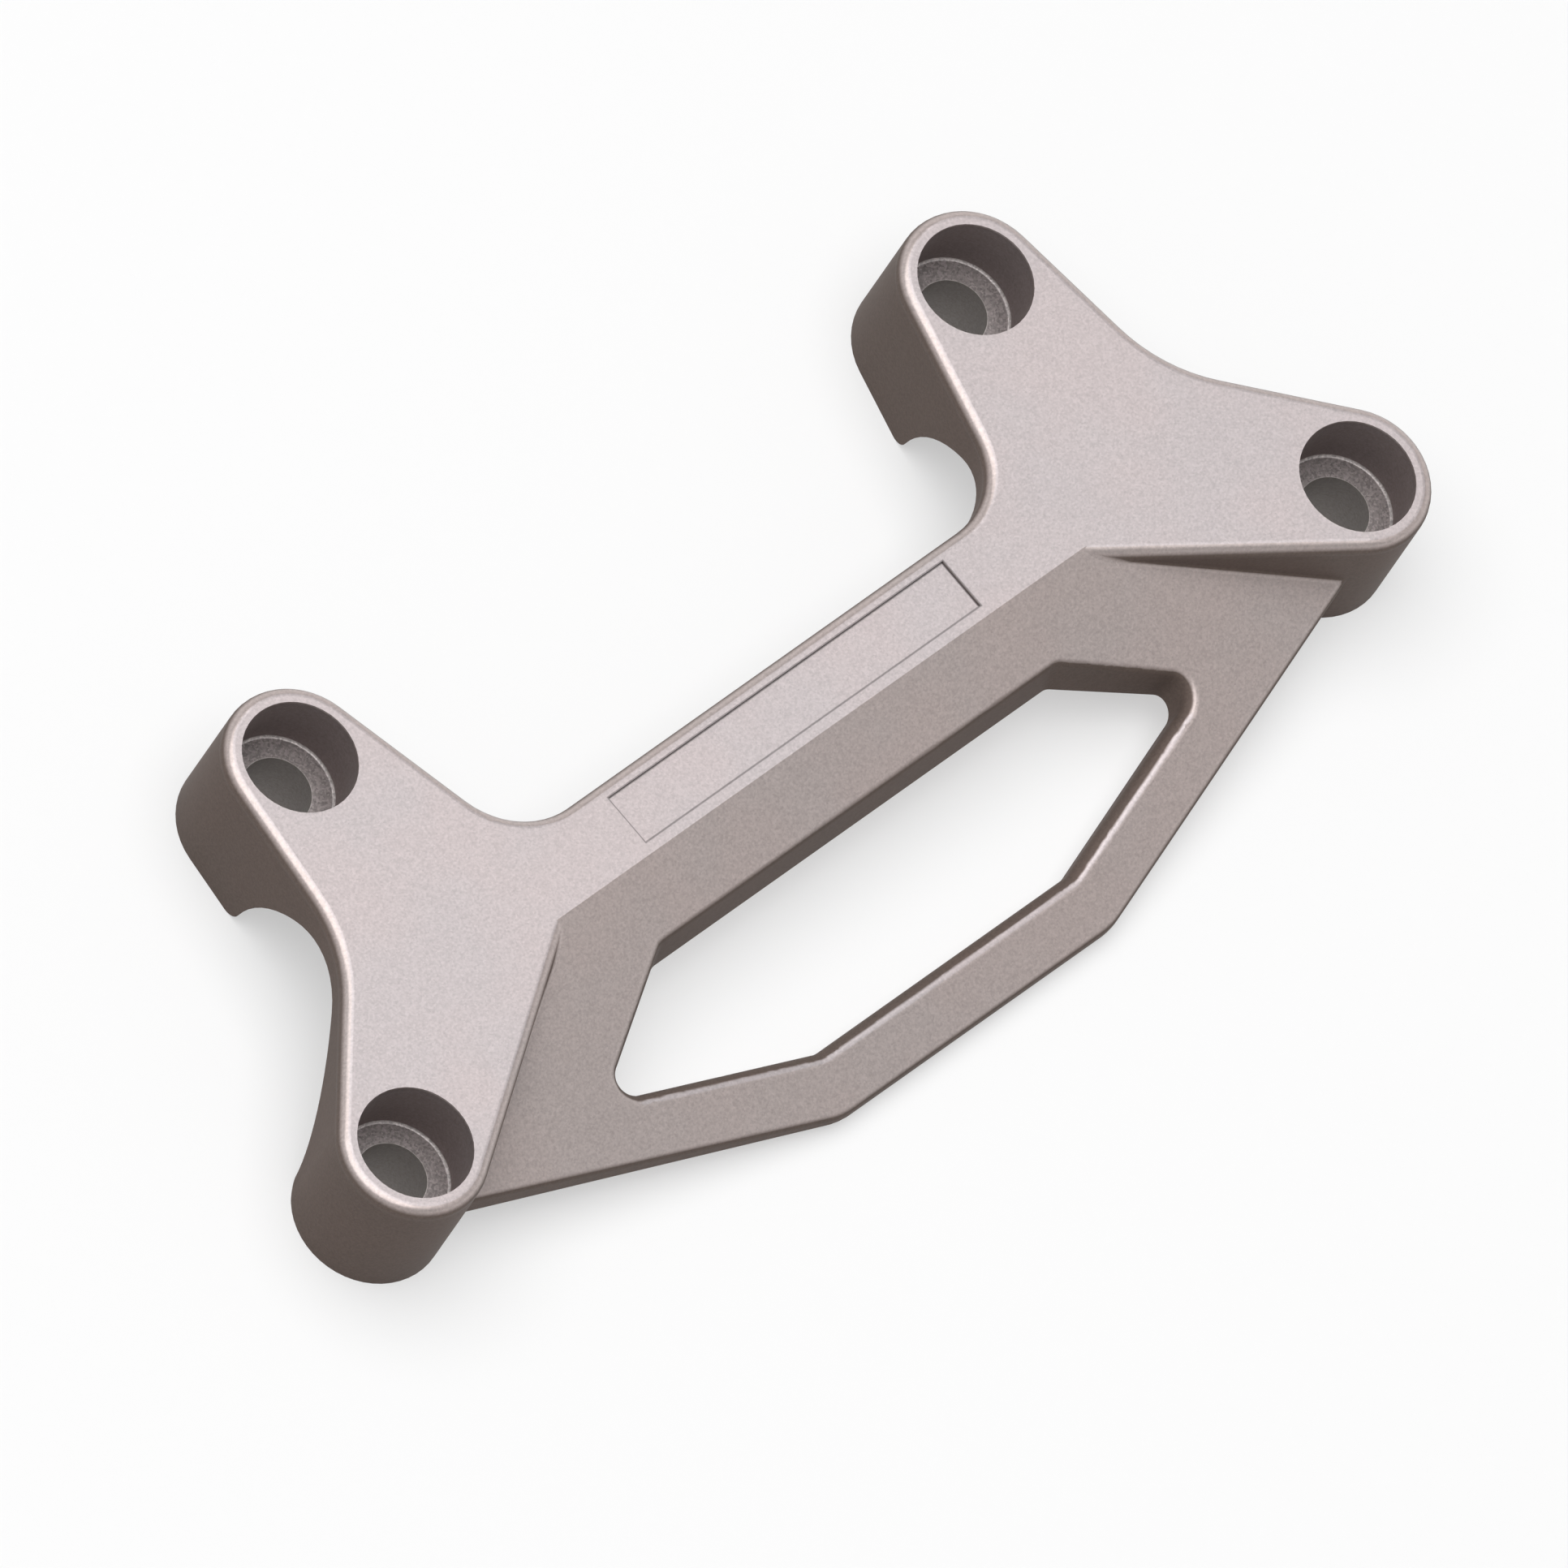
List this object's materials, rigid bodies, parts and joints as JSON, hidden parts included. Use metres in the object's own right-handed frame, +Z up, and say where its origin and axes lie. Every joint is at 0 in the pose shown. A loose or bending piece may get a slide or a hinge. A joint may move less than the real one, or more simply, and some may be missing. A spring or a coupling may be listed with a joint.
{
  "type": "handlebar clamp",
  "caption": "One-piece cast upper handlebar clamp: splayed bolt pads with bar saddles, joined by a bridge and a sloped web with a hexagonal window.",
  "frame": {"origin": "on the handlebar's axis at mid-span, in the plane where the clamp meets its lower half", "axes": "+X along the handlebar, +Y forward towards the closer pair of bolts, +Z up from the mating plane to the top face"},
  "size_m": [0.1702, 0.0765, 0.018],
  "materials": {
    "blasted_casting": "bead-blasted satin casting, warm titanium grey"
  },
  "bodies": {
    "root": {"handlebar_clamp": "blasted_casting"}
  },
  "joints": []
}
